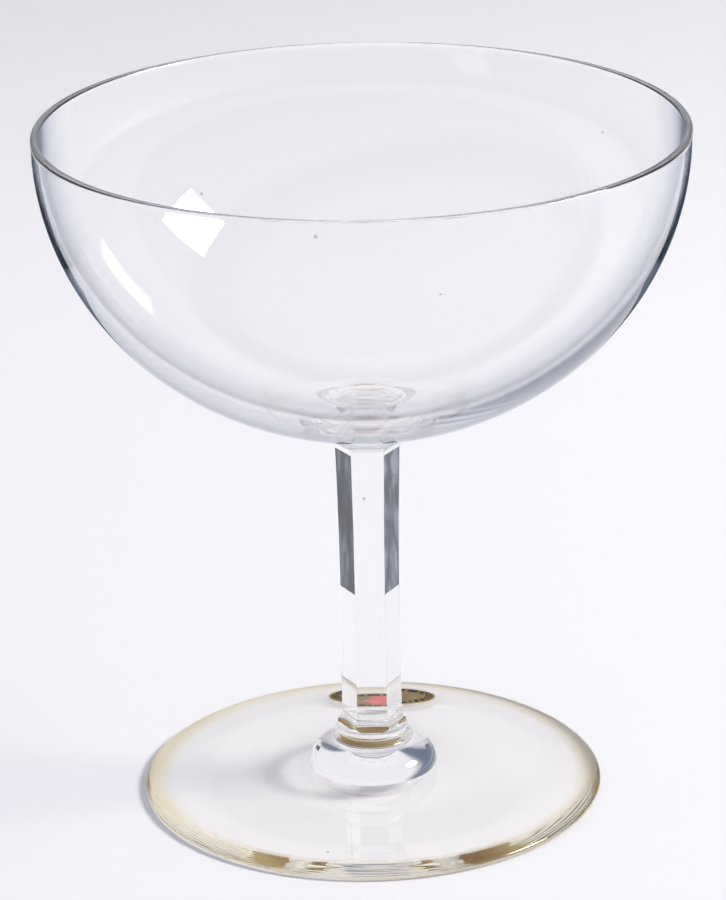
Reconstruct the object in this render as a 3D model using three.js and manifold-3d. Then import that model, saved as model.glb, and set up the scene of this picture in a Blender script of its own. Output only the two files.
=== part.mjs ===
// A footed sherbet glass in clear crystal: a blown bowl, a stem with six cut flats and a round foot,
// welded to one another while hot, and an oval foil seal stuck on the foot behind the stem.
// Millimetres, +Z up. The origin is the centre of the plane that the foot stands on.
import * as THREE from "three";
import { mergeVertices } from "three/addons/utils/BufferGeometryUtils.js";
import Module from "manifold-3d";

// Whole glass
const GLASS_HEIGHT = 104.6;
const RIM_RADIUS = 48;
const FOOT_RADIUS = 35;

// Bowl: half an ellipsoid outside and a flatter one inside, so that the wall thickens downwards
const BELT_DROP = 1.1;
const BOWL_DEPTH = 45.1;
const RIM_WALL = 1.2;
const BASE_WALL = 2.4;

// Stem: a round blank flared at both ends, with long flats cut round it
const BOWL_WELD_RADIUS = 8.5;
const SHANK_RADIUS = 5;
const TOP_FLARE_LENGTH = 7.7;
const COLLAR_RADIUS = 6.2;
const COLLAR_LIP_HEIGHT = 0.8;
const COLLAR_FLARE_LENGTH = 6.2;
const FOOT_WELD_RADIUS = 5.6;
const FLAT_COUNT = 6;
const ACROSS_FLATS_LOW = 7.96;
const ACROSS_FLATS_HIGH = 8.6;
const FLAT_HOLLOW = 0.2;
const FLAT_RUNOUT = 2;
const FLAT_TOP_MARGIN = 2.2;
const FLAT_BOTTOM_MARGIN = 2.8;
const CUTTER_OVERREACH = 3;

// Foot: a low cone that rolls off to a thin edge, a boss under the stem and a shallow hollow underneath
const EDGE_THICKNESS = 1.75;
const EDGE_ROLL = 4;
const EDGE_UNDERCUT = 0.6;
const CONE_RISE = 1.65;
const BOSS_RADIUS = 9.8;
const BOSS_HEIGHT = 3.6;
const REST_RING_WIDTH = 8.5;
const HOLLOW_DEPTH = 0.9;

// Foil seal: an oval of foil on paper, lying along the cone of the foot
const SEAL_LENGTH = 17;
const SEAL_WIDTH = 8;
const SEAL_THICKNESS = 0.15;
const SEAL_REACH = 26.4;
const SEAL_BEARING = THREE.MathUtils.degToRad(3.6);
const SEAL_GAP = 0.3;

// Facets
const ROUND_STEPS = 72;
const STEM_STEPS = 48;
const BOWL_STEPS = 15;
const EDGE_STEPS = 8;
const FLARE_STEPS = 7;
const HOLLOW_STEPS = 4;
const SEAL_STEPS = 16;
const MERGE_DISTANCE = 1e-4;

const beltHeight = GLASS_HEIGHT - BELT_DROP;
const bowlWeldHeight = beltHeight - BOWL_DEPTH * Math.sqrt(1 - (BOWL_WELD_RADIUS / RIM_RADIUS) ** 2);
const bossBase = EDGE_THICKNESS + CONE_RISE;
const footWeldHeight = bossBase + BOSS_HEIGHT;
const coneRadius = FOOT_RADIUS - EDGE_ROLL;

const crystal = new THREE.MeshStandardMaterial({
  color: 0xe9edf1,
  roughness: 0.02,
  metalness: 0,
  transparent: true,
  opacity: 0.4,
});
const goldFoil = new THREE.MeshStandardMaterial({ color: 0xb08a4a, roughness: 0.35, metalness: 0.9 });

const wasm = await Module();
wasm.setup();

// A run of points along an ellipse in the (radius, height) plane
function bow(centreRadius, centreHeight, radius, height, from, to, steps) {
  const curve = new THREE.EllipseCurve(centreRadius, centreHeight, radius, height, from, to, to < from);
  return curve.getPoints(steps);
}

// Turns a (radius, height) profile round the Z axis
function revolve(profile, steps) {
  const outline = profile.filter((point, i) => i === 0 || point.distanceTo(profile[i - 1]) > MERGE_DISTANCE);
  const geometry = new THREE.LatheGeometry(outline, steps);
  geometry.rotateX(Math.PI / 2);
  return geometry;
}

function toSolid(geometry) {
  const bare = geometry.clone();
  bare.deleteAttribute("normal");
  bare.deleteAttribute("uv");
  const merged = mergeVertices(bare, MERGE_DISTANCE);
  const triVerts = [];
  for (let i = 0; i < merged.index.count; i += 3) {
    const corners = [merged.index.getX(i), merged.index.getX(i + 1), merged.index.getX(i + 2)];
    if (new Set(corners).size === corners.length) {
      triVerts.push(...corners);
    }
  }
  const vertProperties = new Float32Array(merged.attributes.position.array);
  return new wasm.Manifold(new wasm.Mesh({ numProp: 3, vertProperties, triVerts: new Uint32Array(triVerts) }));
}

function toGeometry(solid) {
  const mesh = solid.getMesh();
  const geometry = new THREE.BufferGeometry();
  geometry.setAttribute("position", new THREE.BufferAttribute(mesh.vertProperties, mesh.numProp));
  geometry.setIndex(new THREE.BufferAttribute(mesh.triVerts, 1));
  geometry.computeVertexNormals();
  return geometry;
}

function makeNode(name, geometry, material) {
  const node = new THREE.Mesh(geometry, material);
  node.name = name;
  return node;
}

// The bowl has a fire-polished lip as thick as the wall, and a flat pad ground for the stem
function bowlGeometry() {
  const lipRadius = RIM_WALL / 2;
  const lipHeight = GLASS_HEIGHT - lipRadius;
  const innerRadius = RIM_RADIUS - RIM_WALL;
  const innerDepth = BOWL_DEPTH - BASE_WALL;
  const padAngle = -Math.acos(BOWL_WELD_RADIUS / RIM_RADIUS);
  const profile = [
    new THREE.Vector2(0, bowlWeldHeight),
    ...bow(0, beltHeight, RIM_RADIUS, BOWL_DEPTH, padAngle, 0, BOWL_STEPS),
    ...bow(RIM_RADIUS - lipRadius, lipHeight, lipRadius, lipRadius, 0, Math.PI, EDGE_STEPS),
    ...bow(0, beltHeight, innerRadius, innerDepth, 0, -Math.PI / 2, BOWL_STEPS),
  ];
  profile.at(-1).setX(0);
  return revolve(profile, ROUND_STEPS);
}

// The blank: collar lip on the foot, a flare up to the shank and a second flare out to the bowl
function stemBlank() {
  const lipTop = footWeldHeight + COLLAR_LIP_HEIGHT;
  const lowFlareTop = lipTop + COLLAR_FLARE_LENGTH;
  const highFlareBase = bowlWeldHeight - TOP_FLARE_LENGTH;
  const lipReach = COLLAR_RADIUS - FOOT_WELD_RADIUS;
  const lowReach = COLLAR_RADIUS - SHANK_RADIUS;
  const highReach = BOWL_WELD_RADIUS - SHANK_RADIUS;
  const profile = [
    new THREE.Vector2(0, footWeldHeight),
    ...bow(FOOT_WELD_RADIUS, lipTop, lipReach, COLLAR_LIP_HEIGHT, -Math.PI / 2, 0, EDGE_STEPS / 2),
    ...bow(COLLAR_RADIUS, lowFlareTop, lowReach, COLLAR_FLARE_LENGTH, -Math.PI / 2, -Math.PI, FLARE_STEPS),
    ...bow(BOWL_WELD_RADIUS, highFlareBase, highReach, TOP_FLARE_LENGTH, Math.PI, Math.PI / 2, FLARE_STEPS),
    new THREE.Vector2(0, bowlWeldHeight),
  ];
  return revolve(profile, STEM_STEPS);
}

// One cut: its face leans with the taper, is hollow between its ends, and runs out in a round at each end
function flatCutter() {
  const low = footWeldHeight + FLAT_BOTTOM_MARGIN;
  const high = bowlWeldHeight - FLAT_TOP_MARGIN;
  const lowFace = ACROSS_FLATS_LOW / 2;
  const highFace = ACROSS_FLATS_HIGH / 2;
  const drawnIn = (lowFace + highFace) / 2 - 2 * FLAT_HOLLOW;
  const reach = BOWL_WELD_RADIUS + COLLAR_RADIUS + CUTTER_OVERREACH;
  const outline = new THREE.Shape();
  outline.moveTo(reach, low);
  outline.lineTo(lowFace + FLAT_RUNOUT, low);
  outline.absarc(lowFace + FLAT_RUNOUT, low + FLAT_RUNOUT, FLAT_RUNOUT, -Math.PI / 2, -Math.PI, true);
  outline.quadraticCurveTo(drawnIn, (low + high) / 2, highFace, high - FLAT_RUNOUT);
  outline.absarc(highFace + FLAT_RUNOUT, high - FLAT_RUNOUT, FLAT_RUNOUT, Math.PI, Math.PI / 2, true);
  outline.lineTo(reach, high);
  const width = 2 * reach;
  const geometry = new THREE.ExtrudeGeometry(outline, {
    depth: width,
    bevelEnabled: false,
    curveSegments: FLARE_STEPS,
  });
  geometry.translate(0, 0, -width / 2);
  geometry.rotateX(Math.PI / 2);
  return geometry;
}

// A flat faces the front, along -Y
function stemGeometry() {
  const front = -Math.PI / 2;
  let stem = toSolid(stemBlank());
  for (let i = 0; i < FLAT_COUNT; i += 1) {
    const cutter = flatCutter();
    cutter.rotateZ(front + (i * 2 * Math.PI) / FLAT_COUNT);
    stem = stem.subtract(toSolid(cutter));
  }
  return toGeometry(stem);
}

// The foot stands on a flat ring, its underside hollowed like a shallow dish
function footGeometry() {
  const ringOuter = FOOT_RADIUS - EDGE_UNDERCUT;
  const ringInner = ringOuter - REST_RING_WIDTH;
  const rollHeight = EDGE_THICKNESS - EDGE_UNDERCUT;
  const bossReach = BOSS_RADIUS - FOOT_WELD_RADIUS;
  const dishHeight = (r) => HOLLOW_DEPTH * (1 - (r / ringInner) ** 2);
  const dish = [];
  for (let i = 0; i <= HOLLOW_STEPS; i += 1) {
    const r = (ringInner * i) / HOLLOW_STEPS;
    dish.push(new THREE.Vector2(r, dishHeight(r)));
  }
  const profile = [
    ...dish,
    ...bow(ringOuter, EDGE_UNDERCUT, EDGE_UNDERCUT, EDGE_UNDERCUT, -Math.PI / 2, 0, EDGE_STEPS / 2),
    ...bow(coneRadius, EDGE_UNDERCUT, EDGE_ROLL, rollHeight, 0, Math.PI / 2, EDGE_STEPS),
    ...bow(FOOT_WELD_RADIUS, bossBase, bossReach, BOSS_HEIGHT, 0, Math.PI / 2, FLARE_STEPS),
    new THREE.Vector2(0, footWeldHeight),
  ];
  return revolve(profile, ROUND_STEPS);
}

function sealGeometry() {
  const oval = new THREE.Shape();
  oval.absellipse(0, 0, SEAL_LENGTH / 2, SEAL_WIDTH / 2, 0, 2 * Math.PI);
  return new THREE.ExtrudeGeometry(oval, {
    depth: SEAL_THICKNESS,
    bevelEnabled: false,
    curveSegments: SEAL_STEPS,
  });
}

// The seal lies on the cone of the foot, on the far side from the front flat
function placeSeal(seal) {
  const slope = Math.atan(CONE_RISE / (coneRadius - BOSS_RADIUS));
  const coneHeight = EDGE_THICKNESS + (coneRadius - SEAL_REACH) * Math.tan(slope);
  seal.position.set(0, SEAL_REACH, coneHeight + SEAL_GAP);
  seal.rotation.x = -slope;
  const bearing = new THREE.Group();
  bearing.rotation.z = -SEAL_BEARING;
  bearing.add(seal);
  return bearing;
}

const glass = new THREE.Group();
glass.add(makeNode("bowl", bowlGeometry(), crystal));
glass.add(makeNode("stem", stemGeometry(), crystal));
glass.add(makeNode("foot", footGeometry(), crystal));
glass.add(placeSeal(makeNode("foil_seal", sealGeometry(), goldFoil)));

export default glass;
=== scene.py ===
"""A footed sherbet glass in clear crystal on its studio stage, laid out as a Blender add-on.

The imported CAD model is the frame: metres, +Z up, with the origin under the middle of the foot.
"""
import math

import bmesh
import bpy
from mathutils import Euler, Matrix, Vector


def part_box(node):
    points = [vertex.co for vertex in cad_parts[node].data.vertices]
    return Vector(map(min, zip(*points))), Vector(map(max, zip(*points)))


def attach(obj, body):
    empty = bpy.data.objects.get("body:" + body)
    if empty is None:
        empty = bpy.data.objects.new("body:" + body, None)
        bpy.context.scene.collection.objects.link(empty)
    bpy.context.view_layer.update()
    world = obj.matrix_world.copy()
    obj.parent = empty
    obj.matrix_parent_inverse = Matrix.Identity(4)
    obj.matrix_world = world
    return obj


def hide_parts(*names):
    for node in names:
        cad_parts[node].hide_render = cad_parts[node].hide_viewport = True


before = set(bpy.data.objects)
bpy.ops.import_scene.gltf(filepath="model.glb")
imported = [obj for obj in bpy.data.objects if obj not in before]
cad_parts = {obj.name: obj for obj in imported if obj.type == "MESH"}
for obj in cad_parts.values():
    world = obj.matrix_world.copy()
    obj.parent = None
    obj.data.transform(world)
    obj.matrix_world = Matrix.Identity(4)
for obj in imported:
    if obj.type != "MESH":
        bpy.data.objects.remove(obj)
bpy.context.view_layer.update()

bl_info = {
    "name": "Sherbet Glass",
    "version": (1, 0, 0),
    "blender": (4, 5, 0),
    "location": "View3D > Sidebar > Sherbet Glass",
    "description": "Models a footed sherbet glass in clear crystal and the stage it stands on",
    "category": "Add Mesh",
}

# The frame
BOWL_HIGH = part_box("bowl")[1]
STEM_LOW, STEM_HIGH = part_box("stem")
FOOT_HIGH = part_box("foot")[1]
MM = 0.001

# Mesh fineness
ROUND_STEPS = 256
STEM_ROUND_STEPS = 192
BOWL_WALL_STEPS = 64
EDGE_ROUND_STEPS = 16
ROLL_STEPS = 40
FLARE_STEPS = 20
DISH_STEPS = 16
FLAT_STEPS = 32
RUNOUT_STEPS = 10
SEAL_STEPS = 96
FLOOR_STEPS = 128
SEED_SIZE = 0.5 * MM
GUM_CUT = 2 * MM
MERGE_DISTANCE = 0.5e-6
LEVEL_TOLERANCE = 1e-6
BED_FACING = 0.9999
TURNED_SMOOTH = math.radians(30)
CUT_SMOOTH = math.radians(20)
WELD_SLOT = 1
REED_EVERY = 3

# Colour of the glass from faced (0) to edge-on (1), painted shade: the edges darken in place of the dark
# room seen in them
BOWL_EDGE_SHADE = (
    (0.58, (1, 1, 1)),
    (0.7, (0.74, 0.76, 0.81)),
    (0.78, (0.5, 0.53, 0.61)),
    (0.86, (0.1, 0.12, 0.18)),
    (1.0, (0.02, 0.026, 0.05)),
)
STEM_EDGE_SHADE = (
    (0.75, (1, 1, 1)),
    (0.9, (0.5, 0.53, 0.6)),
    (1.0, (0.15, 0.17, 0.22)),
)
FOOT_EDGE_SHADE = (
    (0.72, (1, 1, 1)),
    (0.85, (0.75, 0.76, 0.78)),
    (1.0, (0.4, 0.4, 0.4)),
)

# Shadow of the glass where it stands steep, and the shares of up in its normal between which it fades
BOWL_SHADOW, BOWL_FADE = (0.92, 0.925, 0.94), (0.5, 0.95)
STEM_SHADOW, STEM_FADE = (0.82, 0.83, 0.87), (0.5, 0.95)
FOOT_SHADOW, FOOT_FADE = (0.2, 0.22, 0.26), (0.8, 0.99)
SEAL_SHADOW = (0.9, 0.9, 0.9)
WHITE = (1, 1, 1)

# Stage layout, in metres
FLOOR_RADIUS = 5
FLOOR_DROP = 0.1 * MM
# Painted shade: the floor darkens between these distances behind the glass, in place of the lamps'
# fall-off
FLOOR_SHADE_FADE = (0.22, 0.5)
KEY_PLACE, KEY_TARGET, KEY_SIZE = (2.46, 0, 1.89), (0, 0, 0.09), (1.1, 0.88)
TOP_PLACE, TOP_TARGET, TOP_SIZE = (0, 0.1, 1.3), (0, 0, 0), (1.2, 1.2)
# Dark cards that paint dark reflections and bands in the glass, in place of the dark room
FLAG_SIDE, FLAG_BACK, FLAG_HEIGHT = 0.122, 0.24, 0.4 * MM
FLAG_SIZE = (0.105, 0.2)
FLAG_TURN = math.radians(34)
FLAG_STREAKS = (16, 420, 1)
SLIP_REACH, SLIP_ASIDE, SLIP_HEIGHT = 30 * MM, 3 * MM, 32.3 * MM
SLIP_SIZE = (7.5 * MM, 25.4 * MM)
SLIP_NEAR = 3.5 * MM
SLIP_BEARING = math.radians(48.7)
SLIP_STREAKS = (900, 900, 160)
LIGHT_BOUNCES = 64

# Painted shade: colour of the dark cards that the glass shows in place of the dark room, across their
# streaks
CARD_SHADE = (
    (0.36, (0.008, 0.014, 0.03)),
    (0.5, (0.04, 0.056, 0.088)),
    (0.64, (0.22, 0.25, 0.3)),
)

# Colour of the room seen through the glass, from level (0) to overhead (1), and how far it tilts sideways
ROOM = (
    (0.0, (0.9, 0.9, 0.94)),
    (0.4, (0.88, 0.88, 0.93)),
    (0.47, (0.16, 0.2, 0.28)),
    (0.6, (0.12, 0.15, 0.22)),
    (0.7, (0.7, 0.7, 0.75)),
)
ROOM_TILT = -0.22


def length(name, description, default):
    """A size that a user may change, in metres."""
    return bpy.props.FloatProperty(
        name=name, description=description, default=default, unit="LENGTH", precision=5
    )


def angle(name, description, degrees):
    """An angle that a user may change, with its default in degrees."""
    return bpy.props.FloatProperty(
        name=name, description=description, default=math.radians(degrees), subtype="ANGLE"
    )


def tint(name, description, default):
    """A colour that a user may change, in linear light."""
    return bpy.props.FloatVectorProperty(
        name=name, description=description, default=default, subtype="COLOR", size=3, min=0, max=1
    )


class SHERBET_PG_bowl(bpy.types.PropertyGroup):
    """Sizes of the bowl."""

    belt_radius: length("Belt radius", "Outer radius of the bowl at its belt", BOWL_HIGH.x)
    lip_height: length("Lip height", "Height of the top of the lip", BOWL_HIGH.z)
    belt_drop: length("Belt drop", "How far the widest ring lies under the lip", 1.1 * MM)
    depth: length("Depth", "Height of the outer half ellipse under the belt", 45.1 * MM)
    lip_wall: length("Lip wall", "Thickness of the wall at the lip", 1.2 * MM)
    base_wall: length("Base wall", "Thickness of the glass in the middle of the bowl", 2.4 * MM)
    weld_radius: length("Weld radius", "Radius of the pad that the stem is welded to", 8.5 * MM)


class SHERBET_PG_stem(bpy.types.PropertyGroup):
    """Sizes of the stem."""

    shank_radius: length("Shank radius", "Radius of the round blank between its flares", 5 * MM)
    top_flare: length("Top flare", "Length of the flare under the bowl", 7.7 * MM)
    collar_radius: length("Collar radius", "Greatest radius of the collar on the foot", 6.2 * MM)
    collar_lip: length("Collar lip", "Height of the rounded lip of the collar", 0.8 * MM)
    collar_flare: length("Collar flare", "Length of the flare above the collar", 6.2 * MM)
    across_low: length("Across flats below", "Width over two flats at their lower end", 7.96 * MM)
    across_high: length("Across flats above", "Width over two flats at their upper end", 8.6 * MM)
    flat_hollow: length("Flat hollow", "How much a flat is hollowed along the stem", 0.2 * MM)
    runout: length("Run-out", "Radius of the round that ends a flat", 2 * MM)
    top_margin: length("Top margin", "Uncut length under the bowl", 2.2 * MM)
    bottom_margin: length("Bottom margin", "Uncut length over the foot", 2.8 * MM)
    flats: bpy.props.IntProperty(
        name="Flats", description="Number of flats cut round the stem", default=6, min=3, max=12
    )


class SHERBET_PG_foot(bpy.types.PropertyGroup):
    """Sizes of the foot."""

    radius: length("Radius", "Outer radius of the foot", FOOT_HIGH.x)
    edge: length("Edge", "Height of the top where it begins to roll off", 1.75 * MM)
    roll: length("Roll", "Width of the rolled edge", 4 * MM)
    undercut: length("Undercut", "Radius of the round under the edge", 0.6 * MM)
    cone_rise: length("Cone rise", "How far the top rises from the edge to the boss", 1.65 * MM)
    boss_radius: length("Boss radius", "Radius of the boss at its base", 9.8 * MM)
    boss_height: length("Boss height", "Height of the boss", 3.6 * MM)
    weld_radius: length("Weld radius", "Radius of the face that the stem is welded to", 5.6 * MM)
    ring_width: length("Ring width", "Width of the flat ring that the foot stands on", 8.5 * MM)
    hollow: length("Hollow", "Depth of the dished underside", 0.9 * MM)


class SHERBET_PG_seal(bpy.types.PropertyGroup):
    """Sizes and colours of the foil seal."""

    length: length("Length", "Length of the oval", 17 * MM)
    width: length("Width", "Width of the oval", 8 * MM)
    thickness: length("Thickness", "Thickness of the foil on its paper", 0.15 * MM)
    reach: length("Reach", "Distance of the seal from the axis of the glass", 26.4 * MM)
    sink: length("Sink", "How deep the gum holds the seal in the cone of the foot", 0.105 * MM)
    rim: length("Rim", "Width of the plain gold rim", 0.25 * MM)
    ring: length("Ring", "Width of the reeded ring at the ends of the oval", 1.3 * MM)
    ring_swell: bpy.props.FloatProperty(
        name="Ring swell",
        description="How much the field swells across into the ring",
        default=1.2,
        min=1,
        max=1.4,
    )
    field: length("Field", "Width of the gold field round the panel", 0.06 * MM)
    step: length("Step", "Width of each sloping step of the embossing", 0.06 * MM)
    relief: length("Relief", "Height of the embossing", 0.03 * MM)
    panel_share: bpy.props.FloatProperty(
        name="Panel share",
        description="Length of the panel as a share of the field",
        default=0.42,
        min=0.1,
        max=1,
    )
    bearing: angle("Bearing", "Turn of the seal round the glass, from straight behind the stem", 3.6)
    foil: tint("Foil", "Colour of the gold foil", (0.62, 0.44, 0.17))
    ring_ink: tint("Ring ink", "Colour of the ring printed on the foil", (0.025, 0.018, 0.012))
    panel_ink: tint("Panel ink", "Colour of the panel in the middle", (0.8, 0.19, 0.17))
    gum: tint("Gum", "Colour of the back of the foil, seen through its gum", (1.0, 0.82, 0.47))


class SHERBET_PG_crystal(bpy.types.PropertyGroup):
    """Finish of the glass."""

    body: tint("Body", "Colour of the clear crystal", (0.985, 0.988, 0.992))
    depth: tint("Depth", "Colour of the crystal seen through a great depth", (0.75, 0.62, 0.3))
    absorption: bpy.props.FloatProperty(
        name="Absorption", description="How fast the colour of depth comes in, per metre", default=5, min=0
    )
    # Painted warm glow on the foot's rolled edge, in place of the gold light carried round its rim
    straw: tint("Straw", "Tone of the rolled edge of the foot", (0.91, 0.84, 0.63))
    speck: tint("Speck", "Colour of the specks of dust", (0.3, 0.29, 0.28))
    haze: bpy.props.FloatProperty(
        name="Haze", description="Greatest roughness of wiped marks", default=0.015, min=0, max=0.2
    )
    refraction: bpy.props.FloatProperty(
        name="Refraction", description="Refractive index of the crystal", default=1.55, min=1, max=2
    )


class SHERBET_PG_stage(bpy.types.PropertyGroup):
    """Floor, room, lamps and camera."""

    floor: tint("Floor", "Colour of the sheet that the glass stands on", (0.885, 0.867, 0.87))
    # Painted shade of the floor far behind the glass, in place of the lamps' fall-off
    floor_far_shade: tint("Far floor", "Colour of the sheet behind the glass", (0.765, 0.75, 0.76))
    room: tint("Room", "Colour of the room as it lights and is mirrored", (0.37, 0.385, 0.44))
    glow: tint("Glow", "Colour of the room as scattered light meets it through glass", (0.7, 0.67, 0.68))
    backdrop: tint("Backdrop", "Colour of the room past the edge of the sheet", (0.8, 0.8, 0.86))
    key_power: bpy.props.FloatProperty(
        name="Key power", description="Power of the lamp on the right", default=102, unit="POWER"
    )
    key_shine: bpy.props.FloatProperty(
        name="Key shine", description="Strength of the lamp's face as glass mirrors it", default=33
    )
    top_power: bpy.props.FloatProperty(
        name="Top power", description="Power of the lamp overhead", default=1, unit="POWER"
    )
    lens: bpy.props.FloatProperty(
        name="Lens", description="Focal length of the camera", default=155.48, subtype="DISTANCE_CAMERA"
    )
    pitch: angle("Pitch", "Angle of the camera below level", 20.43)
    roll: angle("Roll", "Tilt of the camera round its own axis", -1.09)
    yaw: angle("Yaw", "Turn of the camera to the left", 0.066)
    camera_back: length("Camera back", "Distance of the camera in front of the glass", 544.8 * MM)
    camera_height: length("Camera height", "Height of the camera over the floor", 257.1 * MM)


# Modelling helpers
def bow(centre, reach, start, end, steps):
    """Points on an ellipse in the (radius, height) plane, between two angles in degrees."""
    points = []
    for i in range(steps + 1):
        angle = math.radians(start + (end - start) * i / steps)
        points.append((centre[0] + reach[0] * math.cos(angle), centre[1] + reach[1] * math.sin(angle)))
    return points


def begin_piece(name):
    """Adds a small plane, merged to one point at the origin, and stays in edit mode."""
    bpy.ops.object.select_all(action="DESELECT")
    bpy.ops.mesh.primitive_plane_add(size=SEED_SIZE, location=(0, 0, 0))
    piece = bpy.context.object
    piece.name = name
    piece.data.name = name
    bpy.ops.object.mode_set(mode="EDIT")
    bpy.ops.mesh.select_mode(type="VERT")
    bpy.ops.mesh.select_all(action="SELECT")
    bpy.ops.mesh.merge(type="CENTER")
    return piece


def draw_profile(points):
    """Carries the one point of a new piece along a (radius, height) profile, leaving a line."""
    here = points[0]
    bpy.ops.transform.translate(value=(here[0], 0, here[1]))
    for there in points[1:]:
        step = (there[0] - here[0], 0, there[1] - here[1])
        if Vector(step).length > MERGE_DISTANCE:
            bpy.ops.mesh.extrude_vertices_move(TRANSFORM_OT_translate={"value": step})
            here = there


def turn_profile(steps):
    """Spins the profile in edit mode into a closed round body."""
    bpy.ops.mesh.select_all(action="SELECT")
    bpy.ops.mesh.spin(steps=steps, angle=math.tau, center=(0, 0, 0), axis=(0, 0, 1))
    bpy.ops.mesh.select_all(action="SELECT")
    bpy.ops.mesh.remove_doubles(threshold=MERGE_DISTANCE)
    bpy.ops.mesh.select_all(action="SELECT")
    bpy.ops.mesh.normals_make_consistent(inside=False)


def make_active(piece):
    """Selects one piece, and brings the meshes that a modifier reads up to date."""
    bpy.ops.object.select_all(action="DESELECT")
    piece.select_set(True)
    bpy.context.view_layer.objects.active = piece
    bpy.context.view_layer.update()


def subtract(piece, cutter, name):
    """Cuts the shape of a cutter out of a piece."""
    make_active(piece)
    cut = piece.modifiers.new(name, "BOOLEAN")
    cut.operation = "DIFFERENCE"
    cut.solver = "EXACT"
    cut.object = cutter
    bpy.ops.object.modifier_apply(modifier=cut.name)


def select_faces(piece, wanted):
    """Selects the faces of a piece in edit mode that a test picks, and returns their number."""
    bpy.ops.mesh.select_mode(type="FACE")
    bpy.ops.mesh.select_all(action="DESELECT")
    mesh = bmesh.from_edit_mesh(piece.data)
    picked = [face for face in mesh.faces if wanted(face)]
    for face in picked:
        face.select_set(True)
    bmesh.update_edit_mesh(piece.data)
    return len(picked)


def level_face(face, height):
    """True for a flat face that lies at a height."""
    return all(abs(vertex.co.z - height) < LEVEL_TOLERANCE for vertex in face.verts)


def assign_weld(piece):
    """Gives the selected faces the weld material, with a sharp edge round them."""
    piece.active_material_index = WELD_SLOT
    bpy.ops.object.material_slot_assign()
    bpy.ops.mesh.region_to_loop()
    bpy.ops.mesh.mark_sharp()


def finish_glass(piece, crystal, weld, weld_heights, smooth_angle):
    """Smooths a piece of glass, and gives the faces at its welds the see-through weld material."""
    piece.data.materials.append(crystal)
    piece.data.materials.append(weld)
    bpy.ops.object.mode_set(mode="OBJECT")
    bpy.ops.object.shade_smooth_by_angle(angle=smooth_angle)
    bpy.ops.object.mode_set(mode="EDIT")
    for height in weld_heights:
        count = select_faces(piece, lambda face: level_face(face, height))
        if not count:
            raise RuntimeError(f"{piece.name} has no face to weld at {height:.5f} m")
        assign_weld(piece)
    bpy.ops.mesh.select_all(action="DESELECT")
    bpy.ops.object.mode_set(mode="OBJECT")


def place(piece, node, slot):
    """Puts a piece in the frame: on the glass's one body, in place of its CAD node."""
    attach(piece, "root")
    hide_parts(node)


def begin_oval(name, seal):
    """Adds a flat oval of the seal's size at the origin, and stays in edit mode."""
    bpy.ops.object.select_all(action="DESELECT")
    bpy.ops.mesh.primitive_circle_add(
        vertices=SEAL_STEPS, radius=seal.length / 2, fill_type="NGON", location=(0, 0, 0)
    )
    piece = bpy.context.object
    piece.name = name
    piece.data.name = name
    bpy.ops.object.mode_set(mode="EDIT")
    bpy.ops.mesh.select_mode(type="FACE")
    bpy.ops.mesh.select_all(action="SELECT")
    bpy.ops.transform.resize(value=(1, seal.width / seal.length, 1))
    return piece


def seal_bed(seal, foot):
    """Slope of the foot's cone, and the height of the bed that the seal is gummed into."""
    cone_radius = foot.radius - foot.roll
    slope = math.atan(foot.cone_rise / (cone_radius - foot.boss_radius))
    height = foot.edge + (cone_radius - seal.reach) * math.tan(slope)
    return slope, height - seal.sink


def settle_seal(seal, foot):
    """Lays the selected mesh of a seal, drawn level at the origin, on its bed on the foot."""
    slope, height = seal_bed(seal, foot)
    bpy.ops.transform.rotate(value=slope, orient_axis="X", center_override=(0, 0, 0))
    bpy.ops.transform.translate(value=(0, seal.reach, height))
    bpy.ops.transform.rotate(value=seal.bearing, orient_axis="Z", center_override=(0, 0, 0))


# Materials
def new_material(name):
    """An empty material, with its nodes and links."""
    material = bpy.data.materials.new(name)
    material.use_nodes = True
    material.node_tree.nodes.clear()
    return material, material.node_tree.nodes, material.node_tree.links


def set_stops(ramp, stops):
    """Gives a colour ramp its stops, each a place between 0 and 1 and a colour."""
    elements = ramp.color_ramp.elements
    while len(elements) < len(stops):
        elements.new(1)
    for element, (position, colour) in zip(elements, stops):
        element.position = position
        element.color = (*colour, 1)


def new_group(name, outputs):
    """An empty shader node group with named outputs, each of a kind, with its nodes and links."""
    group = bpy.data.node_groups.new(name, "ShaderNodeTree")
    for output, kind in outputs.items():
        group.interface.new_socket(output, in_out="OUTPUT", socket_type="NodeSocket" + kind)
    return group, group.nodes, group.links


def noise(nodes, scale, detail):
    """A noise texture, coarse to fine by its scale."""
    texture = nodes.new("ShaderNodeTexNoise")
    texture.inputs["Scale"].default_value = scale
    texture.inputs["Detail"].default_value = detail
    return texture


def bump_map(nodes, strength, distance):
    """A bump of a strength and a height in metres."""
    bump = nodes.new("ShaderNodeBump")
    bump.inputs["Strength"].default_value = strength
    bump.inputs["Distance"].default_value = distance
    return bump


def maths(nodes, operation, second=None):
    """A sum on one value, or with a constant as its second."""
    node = nodes.new("ShaderNodeMath")
    node.operation = operation
    if second is not None:
        node.inputs[1].default_value = second
    return node


def map_range(nodes, low, high):
    """A value spread from 0 at one end of a range to 1 at the other."""
    node = nodes.new("ShaderNodeMapRange")
    node.inputs["From Min"].default_value = low
    node.inputs["From Max"].default_value = high
    return node


def colour_mix(nodes, first=None, second=None):
    """A mix of two colours, constant where they are given."""
    mix = nodes.new("ShaderNodeMix")
    mix.data_type = "RGBA"
    if first is not None:
        mix.inputs["A"].default_value = (*first, 1)
    if second is not None:
        mix.inputs["B"].default_value = (*second, 1)
    return mix


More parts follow.
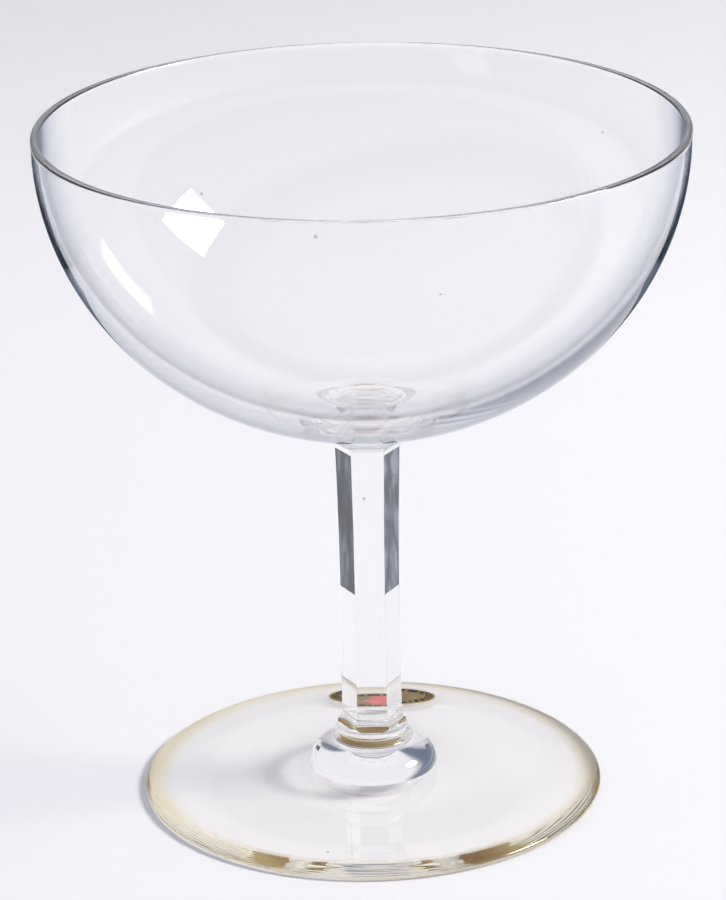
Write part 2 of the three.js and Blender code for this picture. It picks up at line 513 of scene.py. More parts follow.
def marks_group():
    """Marks of use on glass, from object coordinates: ripples, wiped haze and a few specks."""
    name = "crystal_marks"
    if name in bpy.data.node_groups:
        return bpy.data.node_groups[name]
    group, nodes, links = new_group(name, {"Haze": "Float", "Speck": "Float", "Normal": "Vector"})
    output = nodes.new("NodeGroupOutput")
    place = nodes.new("ShaderNodeTexCoord")
    ripple = noise(nodes, 70, 1)
    bump = bump_map(nodes, 0.25, 0.04 * MM)
    smear = noise(nodes, 45, 6)
    smear.inputs["Distortion"].default_value = 1.5
    haze = map_range(nodes, 0.5, 0.75)
    cells = nodes.new("ShaderNodeTexVoronoi")
    cells.inputs["Scale"].default_value = 160
    chance = nodes.new("ShaderNodeSeparateColor")
    rare = maths(nodes, "GREATER_THAN", 0.86)
    dot = map_range(nodes, 0.05, 0.03)
    speck = maths(nodes, "MULTIPLY")
    for texture in (ripple, smear, cells):
        links.new(place.outputs["Object"], texture.inputs["Vector"])
    links.new(ripple.outputs["Fac"], bump.inputs["Height"])
    links.new(smear.outputs["Fac"], haze.inputs["Value"])
    links.new(cells.outputs["Color"], chance.inputs["Color"])
    links.new(chance.outputs["Red"], rare.inputs[0])
    links.new(cells.outputs["Distance"], dot.inputs["Value"])
    links.new(dot.outputs["Result"], speck.inputs[0])
    links.new(rare.outputs["Value"], speck.inputs[1])
    links.new(haze.outputs["Result"], output.inputs["Haze"])
    links.new(speck.outputs["Value"], output.inputs["Speck"])
    links.new(bump.outputs["Normal"], output.inputs["Normal"])
    return group


def painted_rim_glow_group(look, foot):
    """A straw-coloured painted glow on the foot's rolled edge, in place of the gold light carried round
    its rim, from object coordinates: uneven, and clear inside it.
    """
    name = "straw_edge"
    if name in bpy.data.node_groups:
        return bpy.data.node_groups[name]
    group, nodes, links = new_group(name, {"Tone": "Color"})
    output = nodes.new("NodeGroupOutput")
    place = nodes.new("ShaderNodeTexCoord")
    plan = nodes.new("ShaderNodeVectorMath")
    plan.operation = "MULTIPLY"
    plan.inputs[1].default_value = (1, 1, 0)
    radius = nodes.new("ShaderNodeVectorMath")
    radius.operation = "LENGTH"
    rolled = map_range(nodes, foot.radius - foot.roll, foot.radius - foot.roll / 2)
    cloud = noise(nodes, 60, 4)
    share = map_range(nodes, 0.3, 0.6)
    share.inputs["To Min"].default_value = 0.55
    strength = maths(nodes, "MULTIPLY")
    # Painted glow: the rolled edge is tinted towards straw
    rim_glow = colour_mix(nodes, WHITE, look.straw)
    links.new(place.outputs["Object"], plan.inputs[0])
    links.new(plan.outputs["Vector"], radius.inputs[0])
    links.new(radius.outputs["Value"], rolled.inputs["Value"])
    links.new(place.outputs["Object"], cloud.inputs["Vector"])
    links.new(cloud.outputs["Fac"], share.inputs["Value"])
    links.new(rolled.outputs["Result"], strength.inputs[0])
    links.new(share.outputs["Result"], strength.inputs[1])
    links.new(strength.outputs["Value"], rim_glow.inputs["Factor"])
    links.new(rim_glow.outputs["Result"], output.inputs["Tone"])
    return group


def crystal_material(name, look, edge_shade_stops, steep_shadow, fade, painted_glow=None):
    """Clear glass with marks of use, painted slate shade where it is seen edge-on in place of the dark
    room it would show there, and a thin shadow.

    The shadow fades out from steep faces to lying ones, between two upward shares of the normal. A node
    group may tint the glass; the foot's is a painted warm glow on its rolled edge.
    """
    material, nodes, links = new_material(name)
    output = nodes.new("ShaderNodeOutputMaterial")
    mix = nodes.new("ShaderNodeMixShader")
    glass = nodes.new("ShaderNodeBsdfPrincipled")
    clear = nodes.new("ShaderNodeBsdfTransparent")
    path = nodes.new("ShaderNodeLightPath")
    side = nodes.new("ShaderNodeNewGeometry")
    marks = nodes.new("ShaderNodeGroup")
    marks.node_tree = marks_group()
    # Painted shade: the glass darkens towards its edges by Layer Weight, standing in for the dark room
    # seen in them; the same colour tints its reflections
    facing = nodes.new("ShaderNodeLayerWeight")
    facing.inputs["Blend"].default_value = 0.5
    edge = nodes.new("ShaderNodeValToRGB")
    set_stops(edge, edge_shade_stops)
    entering = colour_mix(nodes)
    decay = maths(nodes, "MULTIPLY", -look.absorption)
    left = maths(nodes, "EXPONENT")
    straw = colour_mix(nodes, look.depth, WHITE)
    body = colour_mix(nodes, None, look.body)
    body.blend_type = "MULTIPLY"
    body.inputs["Factor"].default_value = 1
    specked = colour_mix(nodes, None, look.speck)
    haze = maths(nodes, "MULTIPLY", look.haze)
    upright = nodes.new("ShaderNodeSeparateXYZ")
    level = maths(nodes, "ABSOLUTE")
    flatness = map_range(nodes, *fade)
    shadow = colour_mix(nodes, steep_shadow, WHITE)
    if painted_glow:
        rim_glow = nodes.new("ShaderNodeGroup")
        rim_glow.node_tree = painted_glow
        links.new(rim_glow.outputs["Tone"], body.inputs["B"])
    glass.inputs["Transmission Weight"].default_value = 1.0
    glass.inputs["IOR"].default_value = look.refraction
    links.new(facing.outputs["Facing"], edge.inputs["Fac"])
    links.new(edge.outputs["Color"], entering.inputs["A"])
    links.new(path.outputs["Ray Length"], decay.inputs[0])
    links.new(decay.outputs["Value"], left.inputs[0])
    links.new(left.outputs["Value"], straw.inputs["Factor"])
    links.new(straw.outputs["Result"], entering.inputs["B"])
    links.new(side.outputs["Backfacing"], entering.inputs["Factor"])
    links.new(entering.outputs["Result"], body.inputs["A"])
    links.new(body.outputs["Result"], specked.inputs["A"])
    links.new(marks.outputs["Speck"], specked.inputs["Factor"])
    links.new(specked.outputs["Result"], glass.inputs["Base Color"])
    links.new(entering.outputs["Result"], glass.inputs["Specular Tint"])
    links.new(marks.outputs["Haze"], haze.inputs[0])
    links.new(haze.outputs["Value"], glass.inputs["Roughness"])
    links.new(marks.outputs["Normal"], glass.inputs["Normal"])
    links.new(side.outputs["Normal"], upright.inputs["Vector"])
    links.new(upright.outputs["Z"], level.inputs[0])
    links.new(level.outputs["Value"], flatness.inputs["Value"])
    links.new(flatness.outputs["Result"], shadow.inputs["Factor"])
    links.new(shadow.outputs["Result"], clear.inputs["Color"])
    links.new(path.outputs["Is Shadow Ray"], mix.inputs["Fac"])
    links.new(glass.outputs["BSDF"], mix.inputs[1])
    links.new(clear.outputs["BSDF"], mix.inputs[2])
    links.new(mix.outputs["Shader"], output.inputs["Surface"])
    return material


def weld_material():
    """Fused glass: light passes a weld face as if it were not there."""
    name = "fused_weld"
    if name in bpy.data.materials:
        return bpy.data.materials[name]
    material, nodes, links = new_material(name)
    output = nodes.new("ShaderNodeOutputMaterial")
    clear = nodes.new("ShaderNodeBsdfTransparent")
    links.new(clear.outputs["BSDF"], output.inputs["Surface"])
    return material


def crinkle_group():
    """Wear of thin foil and paper, from object coordinates: blotches and a fine crinkle."""
    name = "foil_crinkle"
    if name in bpy.data.node_groups:
        return bpy.data.node_groups[name]
    group, nodes, links = new_group(name, {"Blotch": "Float", "Normal": "Vector"})
    output = nodes.new("NodeGroupOutput")
    place = nodes.new("ShaderNodeTexCoord")
    blotch = noise(nodes, 700, 5)
    fold = noise(nodes, 2200, 3)
    bump = bump_map(nodes, 0.5, 0.02 * MM)
    links.new(place.outputs["Object"], blotch.inputs["Vector"])
    links.new(place.outputs["Object"], fold.inputs["Vector"])
    links.new(fold.outputs["Fac"], bump.inputs["Height"])
    links.new(blotch.outputs["Fac"], output.inputs["Blotch"])
    links.new(bump.outputs["Normal"], output.inputs["Normal"])
    return group


def seal_material(name, colour, metallic, roughness, wear):
    """Foil, ink or gum, with blotches of a worn colour, a fine crinkle and a soft shadow."""
    material, nodes, links = new_material(name)
    output = nodes.new("ShaderNodeOutputMaterial")
    shader = nodes.new("ShaderNodeBsdfPrincipled")
    crinkle = nodes.new("ShaderNodeGroup")
    crinkle.node_tree = crinkle_group()
    spread = map_range(nodes, 0.35, 0.7)
    worn = colour_mix(nodes, colour, [part * wear for part in colour])
    path = nodes.new("ShaderNodeLightPath")
    thin = nodes.new("ShaderNodeBsdfTransparent")
    thin.inputs["Color"].default_value = (*SEAL_SHADOW, 1)
    mix = nodes.new("ShaderNodeMixShader")
    shader.inputs["Metallic"].default_value = metallic
    shader.inputs["Roughness"].default_value = roughness
    links.new(crinkle.outputs["Blotch"], spread.inputs["Value"])
    links.new(spread.outputs["Result"], worn.inputs["Factor"])
    links.new(worn.outputs["Result"], shader.inputs["Base Color"])
    links.new(crinkle.outputs["Normal"], shader.inputs["Normal"])
    links.new(path.outputs["Is Shadow Ray"], mix.inputs["Fac"])
    links.new(shader.outputs["BSDF"], mix.inputs[1])
    links.new(thin.outputs["BSDF"], mix.inputs[2])
    links.new(mix.outputs["Shader"], output.inputs["Surface"])
    return material


# Operators
class SHERBET_OT_bowl(bpy.types.Operator):
    """Models the blown bowl, from its weld pad round the lip to the middle of its inside"""

    bl_idname = "sherbet.bowl"
    bl_label = "Bowl"

    def execute(self, context):
        size = context.scene.sherbet_bowl
        belt = size.lip_height - size.belt_drop
        lip = size.lip_wall / 2
        pad_angle = -math.degrees(math.acos(size.weld_radius / size.belt_radius))
        pad = belt + size.depth * math.sin(math.radians(pad_angle))
        inside = (size.belt_radius - size.lip_wall, size.depth - size.base_wall)
        profile = [(0, pad)]
        profile += bow((0, belt), (size.belt_radius, size.depth), pad_angle, 0, BOWL_WALL_STEPS)
        lip_middle = (size.belt_radius - lip, size.lip_height - lip)
        profile += bow(lip_middle, (lip, lip), 0, 180, EDGE_ROUND_STEPS)
        profile += bow((0, belt), inside, 0, -90, BOWL_WALL_STEPS)
        piece = begin_piece("crystal_bowl")
        draw_profile(profile)
        turn_profile(ROUND_STEPS)
        look = context.scene.sherbet_crystal
        crystal = crystal_material("bowl_crystal_clear", look, BOWL_EDGE_SHADE, BOWL_SHADOW, BOWL_FADE)
        finish_glass(piece, crystal, weld_material(), [pad], TURNED_SMOOTH)
        place(piece, "bowl", "bowl_crystal")
        return {"FINISHED"}


class SHERBET_OT_stem(bpy.types.Operator):
    """Models the stem: a round blank, flared at both ends, with hollow flats cut round it"""

    bl_idname = "sherbet.stem"
    bl_label = "Stem"

    def blank(self, size, bowl, foot):
        """The round blank, from the collar on the foot to the flare under the bowl."""
        low, high = STEM_LOW.z, STEM_HIGH.z
        lip_top = low + size.collar_lip
        flare_top = lip_top + size.collar_flare
        flare_base = high - size.top_flare
        lip = (size.collar_radius - foot.weld_radius, size.collar_lip)
        collar = (size.collar_radius - size.shank_radius, size.collar_flare)
        neck = (bowl.weld_radius - size.shank_radius, size.top_flare)
        profile = [(0, low)]
        profile += bow((foot.weld_radius, lip_top), lip, -90, 0, EDGE_ROUND_STEPS // 2)
        profile += bow((size.collar_radius, flare_top), collar, -90, -180, FLARE_STEPS)
        profile += bow((bowl.weld_radius, flare_base), neck, 180, 90, FLARE_STEPS)
        profile += [(0, high)]
        piece = begin_piece("cut_stem")
        draw_profile(profile)
        turn_profile(STEM_ROUND_STEPS)
        bpy.ops.object.mode_set(mode="OBJECT")
        return piece

    def cutter(self, size, reach):
        """A wheel's cut along the stem: hollow in length, with a round at each end."""
        low = STEM_LOW.z + size.bottom_margin
        high = STEM_HIGH.z - size.top_margin
        low_face = size.across_low / 2
        high_face = size.across_high / 2
        start = low + size.runout
        end = high - size.runout
        runout = (size.runout, size.runout)
        profile = [(reach, low)]
        profile += bow((low_face + size.runout, start), runout, -90, -180, RUNOUT_STEPS)
        for i in range(1, FLAT_STEPS):
            along = i / FLAT_STEPS
            leaning = low_face + (high_face - low_face) * along
            hollow = size.flat_hollow * 4 * along * (1 - along)
            profile.append((leaning - hollow, start + (end - start) * along))
        profile += bow((high_face + size.runout, end), runout, 180, 90, RUNOUT_STEPS)
        profile += [(reach, high)]
        piece = begin_piece("flat_cutter")
        draw_profile(profile)
        bpy.ops.mesh.select_all(action="SELECT")
        bpy.ops.mesh.edge_face_add()
        bpy.ops.transform.translate(value=(0, -reach, 0))
        bpy.ops.mesh.extrude_region_move(TRANSFORM_OT_translate={"value": (0, 2 * reach, 0)})
        bpy.ops.mesh.select_all(action="SELECT")
        bpy.ops.mesh.normals_make_consistent(inside=False)
        self.swing(math.radians(90))
        bpy.ops.object.mode_set(mode="OBJECT")
        return piece

    def swing(self, angle):
        """Turns the whole mesh in edit mode round the axis of the glass."""
        bpy.ops.mesh.select_all(action="SELECT")
        bpy.ops.transform.rotate(value=angle, orient_axis="Z", center_override=(0, 0, 0))

    def execute(self, context):
        size = context.scene.sherbet_stem
        bowl = context.scene.sherbet_bowl
        foot = context.scene.sherbet_foot
        piece = self.blank(size, bowl, foot)
        cutter = self.cutter(size, 2 * bowl.weld_radius)
        for _ in range(size.flats):
            subtract(piece, cutter, "cut_flat")
            make_active(cutter)
            bpy.ops.object.mode_set(mode="EDIT")
            self.swing(math.tau / size.flats)
            bpy.ops.object.mode_set(mode="OBJECT")
        bpy.data.meshes.remove(cutter.data)
        make_active(piece)
        look = context.scene.sherbet_crystal
        crystal = crystal_material("stem_crystal_clear", look, STEM_EDGE_SHADE, STEM_SHADOW, STEM_FADE)
        finish_glass(piece, crystal, weld_material(), [STEM_LOW.z, STEM_HIGH.z], CUT_SMOOTH)
        place(piece, "stem", "stem_crystal")
        return {"FINISHED"}


class SHERBET_OT_foot(bpy.types.Operator):
    """Models the foot: a low cone with a round edge, a boss and a dished underside"""

    bl_idname = "sherbet.foot"
    bl_label = "Foot"

    def gum_cutter(self, seal, foot):
        """An oval block over the bed that the seal is gummed into."""
        cutter = begin_oval("gum_cutter", seal)
        bpy.ops.mesh.extrude_region_move(TRANSFORM_OT_translate={"value": (0, 0, GUM_CUT)})
        bpy.ops.mesh.select_all(action="SELECT")
        bpy.ops.mesh.normals_make_consistent(inside=False)
        settle_seal(seal, foot)
        bpy.ops.object.mode_set(mode="OBJECT")
        return cutter

    def execute(self, context):
        size = context.scene.sherbet_foot
        ring_outer = size.radius - size.undercut
        ring_inner = ring_outer - size.ring_width
        cone_radius = size.radius - size.roll
        boss_base = size.edge + size.cone_rise
        top = boss_base + size.boss_height
        under = (size.undercut, size.undercut)
        roll = (size.roll, size.edge - size.undercut)
        boss = (size.boss_radius - size.weld_radius, size.boss_height)
        profile = []
        for i in range(DISH_STEPS + 1):
            share = i / DISH_STEPS
            profile.append((ring_inner * share, size.hollow * (1 - share**2)))
        profile += bow((ring_outer, size.undercut), under, -90, 0, EDGE_ROUND_STEPS)
        profile += bow((cone_radius, size.undercut), roll, 0, 90, ROLL_STEPS)
        profile += bow((size.weld_radius, boss_base), boss, 0, 90, FLARE_STEPS)
        profile += [(0, top)]
        piece = begin_piece("dished_foot")
        draw_profile(profile)
        turn_profile(ROUND_STEPS)
        bpy.ops.object.mode_set(mode="OBJECT")
        seal = context.scene.sherbet_seal
        cutter = self.gum_cutter(seal, size)
        subtract(piece, cutter, "press_seal")
        bpy.data.meshes.remove(cutter.data)
        make_active(piece)
        look = context.scene.sherbet_crystal
        # The foot's rolled edge gets a painted warm glow
        straw = painted_rim_glow_group(look, size)
        crystal = crystal_material("foot_crystal_clear", look, FOOT_EDGE_SHADE, FOOT_SHADOW, FOOT_FADE, straw)
        finish_glass(piece, crystal, weld_material(), [top], TURNED_SMOOTH)
        slope, height = seal_bed(seal, size)
        bed = Vector((0, 0, 1))
        bed.rotate(Euler((-slope, 0, -seal.bearing)))
        spot = Vector((0, seal.reach, height))
        spot.rotate(Euler((0, 0, -seal.bearing)))
        bpy.ops.object.mode_set(mode="EDIT")
        found = select_faces(
            piece,
            lambda face: abs((face.calc_center_median() - spot).dot(bed)) < LEVEL_TOLERANCE
            and face.normal.dot(bed) > BED_FACING,
        )
        if not found:
            raise RuntimeError("the foot has no bed for the seal")
        assign_weld(piece)
        bpy.ops.object.mode_set(mode="OBJECT")
        place(piece, "foot", "foot_crystal")
        return {"FINISHED"}


class SHERBET_OT_seal(bpy.types.Operator):
    """Models the oval foil seal: a raised rim, a reeded ring and a plain panel"""

    bl_idname = "sherbet.seal"
    bl_label = "Foil seal"
    FOIL, GUM, RING, PANEL = range(4)

    def paint(self, piece, slot, wanted):
        """Gives the faces that a test picks a material, and leaves them selected."""
        if not select_faces(piece, wanted):
            raise RuntimeError(f"{piece.name} has no face for material {slot}")
        piece.active_material_index = slot
        bpy.ops.object.material_slot_assign()

    def reed(self, face, size):
        """True for each face of the ring that stays gold, counted by its bearing on the oval."""
        middle = face.calc_center_median()
        bearing = math.atan2(middle.y / size.width, middle.x / size.length)
        return math.floor(bearing / math.tau * SEAL_STEPS) % REED_EVERY == 0

    def execute(self, context):
        size = context.scene.sherbet_seal
        foot = context.scene.sherbet_foot
        piece = begin_oval("oval_foil_seal", size)
        finishes = (
            seal_material("gold_foil_worn", size.foil, metallic=0.85, roughness=0.36, wear=0.7),
            seal_material("gummed_foil", size.gum, metallic=0.9, roughness=0.3, wear=0.85),
            seal_material("ring_print", size.ring_ink, metallic=0.3, roughness=0.5, wear=1.6),
            seal_material("panel_print", size.panel_ink, metallic=0.1, roughness=0.45, wear=0.8),
        )
        for finish in finishes:
            piece.data.materials.append(finish)
        bpy.ops.mesh.extrude_region_move(TRANSFORM_OT_translate={"value": (0, 0, size.thickness)})
        bpy.ops.mesh.inset(thickness=size.rim, depth=0)
        bpy.ops.mesh.inset(thickness=size.step, depth=-size.relief)
        bpy.ops.mesh.inset(thickness=size.ring, depth=0)
        bpy.ops.transform.resize(value=(1, size.ring_swell, 1))
        bpy.ops.mesh.inset(thickness=size.step, depth=size.relief)
        bpy.ops.mesh.inset(thickness=size.field, depth=0)
        bpy.ops.transform.resize(value=(size.panel_share, 1, 1))
        bpy.ops.mesh.inset(thickness=size.step, depth=size.relief)
        piece.active_material_index = self.PANEL
        bpy.ops.object.material_slot_assign()
        bpy.ops.mesh.select_all(action="SELECT")
        bpy.ops.mesh.normals_make_consistent(inside=False)
        groove = size.thickness - size.relief
        self.paint(piece, self.RING, lambda face: level_face(face, groove))
        self.paint(piece, self.GUM, lambda face: level_face(face, 0))
        self.paint(piece, self.FOIL, lambda face: level_face(face, groove) and self.reed(face, size))
        bpy.ops.mesh.inset(thickness=size.step, depth=size.relief, use_individual=True)
        bpy.ops.mesh.select_all(action="SELECT")
        settle_seal(size, foot)
        bpy.ops.object.mode_set(mode="OBJECT")
        bpy.ops.object.shade_smooth_by_angle(angle=CUT_SMOOTH)
        place(piece, "foil_seal", "gold_foil")
        return {"FINISHED"}


class SHERBET_OT_stage(bpy.types.Operator):
    """Sets up the floor, the lamps, the dark cards, the room and the camera"""

    bl_idname = "sherbet.stage"
    bl_label = "Stage"

    def floor(self, look):
        """A round sheet with a faint grain, with painted shade that darkens it behind the glass in place
        of the lamps' fall-off.
        """
        bpy.ops.object.select_all(action="DESELECT")
        bpy.ops.mesh.primitive_circle_add(
            vertices=FLOOR_STEPS, radius=FLOOR_RADIUS, fill_type="NGON", location=(0, 0, 0)
        )
        floor = bpy.context.object
        floor.name = "studio_floor"
        bpy.ops.object.mode_set(mode="EDIT")
        bpy.ops.transform.translate(value=(0, 0, -FLOOR_DROP))
        bpy.ops.object.mode_set(mode="OBJECT")
        material, nodes, links = new_material("studio_sheet")
        output = nodes.new("ShaderNodeOutputMaterial")
        sheet = nodes.new("ShaderNodeBsdfDiffuse")
        place = nodes.new("ShaderNodeTexCoord")
        axes = nodes.new("ShaderNodeSeparateXYZ")
        # Painted shade: the sheet darkens with distance behind the glass
        distance = map_range(nodes, *FLOOR_SHADE_FADE)
        grain = noise(nodes, 30, 6)
        faint = maths(nodes, "MULTIPLY", 0.03)
        dim = maths(nodes, "ADD")
        paper = colour_mix(nodes, look.floor, look.floor_far_shade)
        links.new(place.outputs["Object"], axes.inputs["Vector"])
        links.new(axes.outputs["Y"], distance.inputs["Value"])
        links.new(place.outputs["Object"], grain.inputs["Vector"])
        links.new(grain.outputs["Fac"], faint.inputs[0])
        links.new(distance.outputs["Result"], dim.inputs[0])
        links.new(faint.outputs["Value"], dim.inputs[1])
        links.new(dim.outputs["Value"], paper.inputs["Factor"])
        links.new(paper.outputs["Result"], sheet.inputs["Color"])
        links.new(sheet.outputs["BSDF"], output.inputs["Surface"])
        floor.data.materials.append(material)

    def card(self, name, width, height, carry):
        """A card made level at the origin and carried to its place, which the camera doesn't see."""
        bpy.ops.object.select_all(action="DESELECT")
        bpy.ops.mesh.primitive_plane_add(size=1, location=(0, 0, 0))
        card = bpy.context.object
        card.name = name
        bpy.ops.object.mode_set(mode="EDIT")
        bpy.ops.mesh.select_all(action="SELECT")
        bpy.ops.transform.resize(value=(width, height, 1))
        bpy.ops.object.mode_set(mode="OBJECT")
        card.data.transform(carry)
        card.visible_camera = False
        card.visible_diffuse = False
        card.visible_shadow = False
        return card

    def cloth(self, name, streaks, mirrored):
        """Painted shade: dark streaked cards that the glass shows in place of the dark room, seen either
        only in a mirror or only from about as far as the stem.
        """
        material, nodes, links = new_material(name)
        output = nodes.new("ShaderNodeOutputMaterial")
        cloth = nodes.new("ShaderNodeBsdfDiffuse")
        place = nodes.new("ShaderNodeTexCoord")
        stretch = nodes.new("ShaderNodeMapping")
        stretch.inputs["Scale"].default_value = streaks
        streak = noise(nodes, 1, 5)
        shade_ramp = nodes.new("ShaderNodeValToRGB")
        set_stops(shade_ramp, CARD_SHADE)
        links.new(place.outputs["Object"], stretch.inputs["Vector"])
        links.new(stretch.outputs["Vector"], streak.inputs["Vector"])
        links.new(streak.outputs["Fac"], shade_ramp.inputs["Fac"])
        links.new(shade_ramp.outputs["Color"], cloth.inputs["Color"])
        clear = nodes.new("ShaderNodeBsdfTransparent")
        mix = nodes.new("ShaderNodeMixShader")
        path = nodes.new("ShaderNodeLightPath")
        if mirrored:
            links.new(path.outputs["Is Transmission Ray"], mix.inputs["Fac"])
            first, second = cloth, clear
        else:
            from_stem = maths(nodes, "COMPARE", SLIP_REACH)
            from_stem.inputs[2].default_value = SLIP_NEAR
            links.new(path.outputs["Ray Length"], from_stem.inputs[0])
            links.new(from_stem.outputs["Value"], mix.inputs["Fac"])
            first, second = clear, cloth
        links.new(first.outputs["BSDF"], mix.inputs[1])
        links.new(second.outputs["BSDF"], mix.inputs[2])
        links.new(mix.outputs["Shader"], output.inputs["Surface"])
        return material

    def facing(self, place, target):
        """The matrix that carries a card to a place and turns its face to a target."""
        aim = Vector(target) - Vector(place)
        return Matrix.Translation(place) @ aim.to_track_quat("-Z", "Y").to_matrix().to_4x4()

    def edge_flag(self, hand, side):
        """A dark card on the floor behind the glass, seen only mirrored in the edge of the bowl, where it
        paints a dark reflection.
        """
        place = Matrix.Translation((side * FLAG_SIDE, FLAG_BACK, FLAG_HEIGHT))
        turn = Matrix.Rotation(-side * FLAG_TURN, 4, "Z")
        card = self.card(hand + "_edge_flag", *FLAG_SIZE, place @ turn)
        card.data.materials.append(self.cloth(card.name + "_cloth", FLAG_STREAKS, mirrored=True))

    def stem_slip(self, hand, side):
        """A narrow dark card hung behind the stem on one side, seen through the flats of the stem, where
        it paints dark bands.
        """
        bearing = side * SLIP_BEARING
        away = Vector((math.sin(bearing), math.cos(bearing), 0))
        aside = Vector((-away.y, away.x, 0)) * side
        place = away * SLIP_REACH + aside * SLIP_ASIDE + Vector((0, 0, SLIP_HEIGHT))
        card = self.card(hand + "_stem_slip", *SLIP_SIZE, self.facing(place, place - away))
        card.visible_glossy = False
        card.data.materials.append(self.cloth(card.name + "_cloth", SLIP_STREAKS, mirrored=False))

    def lamp(self, name, place, target, width, height, watts):
        """A soft lamp that lights what it meets, and is seen neither straight nor in the glass."""
        light = bpy.data.lights.new(name, "AREA")
        light.shape = "RECTANGLE"
        light.size = width
        light.size_y = height
        light.energy = watts
        lamp = bpy.data.objects.new(name, light)
        lamp.matrix_world = self.facing(place, target)
        lamp.visible_camera = False
        lamp.visible_glossy = False
        lamp.visible_transmission = False
        bpy.context.scene.collection.objects.link(lamp)

    def softbox(self, name, place, target, width, height, strength):
        """The face of a lamp, which is seen only mirrored in glass and lights nothing."""
        box = self.card(name, width, height, self.facing(place, target))
        material, nodes, links = new_material(name + "_face")
        output = nodes.new("ShaderNodeOutputMaterial")
        face = nodes.new("ShaderNodeEmission")
        path = nodes.new("ShaderNodeLightPath")
        shown = map_range(nodes, 0, 1)
        shown.inputs["To Min"].default_value = strength
        shown.inputs["To Max"].default_value = 0
        links.new(path.outputs["Diffuse Depth"], shown.inputs["Value"])
        links.new(shown.outputs["Result"], face.inputs["Strength"])
        links.new(face.outputs["Emission"], output.inputs["Surface"])
        box.data.materials.append(material)
        box.visible_transmission = False

    def room(self, look):
        """The room round the stage: even as it lights and is mirrored, and banded seen through glass."""
        world = bpy.data.worlds.new("studio_room")
        bpy.context.scene.world = world
        world.use_nodes = True
        nodes, links = world.node_tree.nodes, world.node_tree.links
        nodes.clear()
        output = nodes.new("ShaderNodeOutputWorld")
        background = nodes.new("ShaderNodeBackground")
        direction = nodes.new("ShaderNodeTexCoord")
        axes = nodes.new("ShaderNodeSeparateXYZ")
        height = maths(nodes, "MULTIPLY_ADD", ROOM_TILT)
        wall = nodes.new("ShaderNodeValToRGB")
        set_stops(wall, ROOM)
        path = nodes.new("ShaderNodeLightPath")
        even = colour_mix(nodes, look.room)
        scattered = maths(nodes, "GREATER_THAN", 0.5)
        bent = maths(nodes, "MULTIPLY")
        lit = colour_mix(nodes, None, look.glow)
        shown = colour_mix(nodes, None, look.backdrop)
        links.new(direction.outputs["Generated"], axes.inputs["Vector"])
        links.new(axes.outputs["X"], height.inputs[0])
        links.new(axes.outputs["Z"], height.inputs[2])
        links.new(height.outputs["Value"], wall.inputs["Fac"])
        links.new(wall.outputs["Color"], even.inputs["B"])
        links.new(path.outputs["Is Transmission Ray"], even.inputs["Factor"])
        links.new(even.outputs["Result"], lit.inputs["A"])
        links.new(path.outputs["Diffuse Depth"], scattered.inputs[0])
        links.new(scattered.outputs["Value"], bent.inputs[0])
        links.new(path.outputs["Is Transmission Ray"], bent.inputs[1])
        links.new(bent.outputs["Value"], lit.inputs["Factor"])
        links.new(lit.outputs["Result"], shown.inputs["A"])
        links.new(path.outputs["Is Camera Ray"], shown.inputs["Factor"])
        links.new(shown.outputs["Result"], background.inputs["Color"])
        links.new(background.outputs["Background"], output.inputs["Surface"])

    def camera(self, look):
        """The camera in front of the glass, at the height and angle of the photograph."""
        data = bpy.data.cameras.new("photo_camera")
        data.sensor_width = 36
        data.lens = look.lens
        camera = bpy.data.objects.new("photo_camera", data)
        camera.location = (0, -look.camera_back, look.camera_height)
        level = Euler((math.pi / 2 - look.pitch, 0, look.yaw)).to_matrix()
        camera.rotation_euler = (level @ Matrix.Rotation(look.roll, 3, "Z")).to_euler()
        data.clip_start = 0.01
        data.clip_end = 50
        bpy.context.scene.collection.objects.link(camera)
        bpy.context.scene.camera = camera

    def execute(self, context):
        look = context.scene.sherbet_stage
        context.scene.view_settings.view_transform = "Standard"
        light = context.scene.cycles
        light.max_bounces = LIGHT_BOUNCES
        light.transmission_bounces = LIGHT_BOUNCES
        light.glossy_bounces = LIGHT_BOUNCES
        light.transparent_max_bounces = LIGHT_BOUNCES
        self.floor(look)
        self.lamp("key_lamp", KEY_PLACE, KEY_TARGET, *KEY_SIZE, look.key_power)
        self.softbox("key_softbox", KEY_PLACE, KEY_TARGET, *KEY_SIZE, look.key_shine)
        self.lamp("top_lamp", TOP_PLACE, TOP_TARGET, *TOP_SIZE, look.top_power)
        for hand, side in (("left", -1), ("right", 1)):
            self.edge_flag(hand, side)
            self.stem_slip(hand, side)
        self.room(look)
        self.camera(look)
        return {"FINISHED"}


class SHERBET_PT_panel(bpy.types.Panel):
    """Lists the pieces of the sherbet glass and its stage"""

    bl_idname = "SHERBET_PT_panel"
    bl_label = "Sherbet Glass"
    bl_space_type = "VIEW_3D"
    bl_region_type = "UI"
    bl_category = "Sherbet Glass"

    def draw(self, context):
        for operator in OPERATORS:
            self.layout.operator(operator.bl_idname)


OPERATORS = (SHERBET_OT_stage, SHERBET_OT_bowl, SHERBET_OT_stem, SHERBET_OT_foot, SHERBET_OT_seal)
SETTINGS = {
    "sherbet_bowl": SHERBET_PG_bowl,
    "sherbet_stem": SHERBET_PG_stem,
    "sherbet_foot": SHERBET_PG_foot,
    "sherbet_seal": SHERBET_PG_seal,
    "sherbet_crystal": SHERBET_PG_crystal,
    "sherbet_stage": SHERBET_PG_stage,
}


def register():
    for group in (*SETTINGS.values(), *OPERATORS, SHERBET_PT_panel):
        bpy.utils.register_class(group)
    for name, group in SETTINGS.items():
        setattr(bpy.types.Scene, name, bpy.props.PointerProperty(type=group))


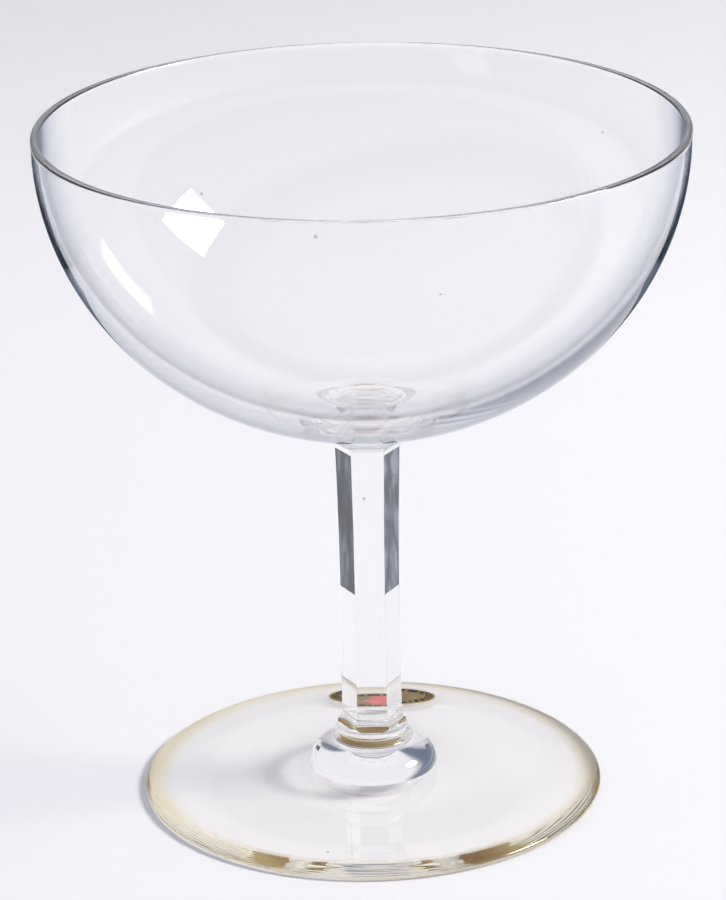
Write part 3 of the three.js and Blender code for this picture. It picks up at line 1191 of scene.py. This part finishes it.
def unregister():
    for name in SETTINGS:
        delattr(bpy.types.Scene, name)
    for group in (SHERBET_PT_panel, *reversed(OPERATORS), *reversed(SETTINGS.values())):
        bpy.utils.unregister_class(group)


def main():
    register()
    bpy.ops.sherbet.stage()
    bpy.ops.sherbet.bowl()
    bpy.ops.sherbet.stem()
    bpy.ops.sherbet.foot()
    bpy.ops.sherbet.seal()


if __name__ == "__main__":
    main()
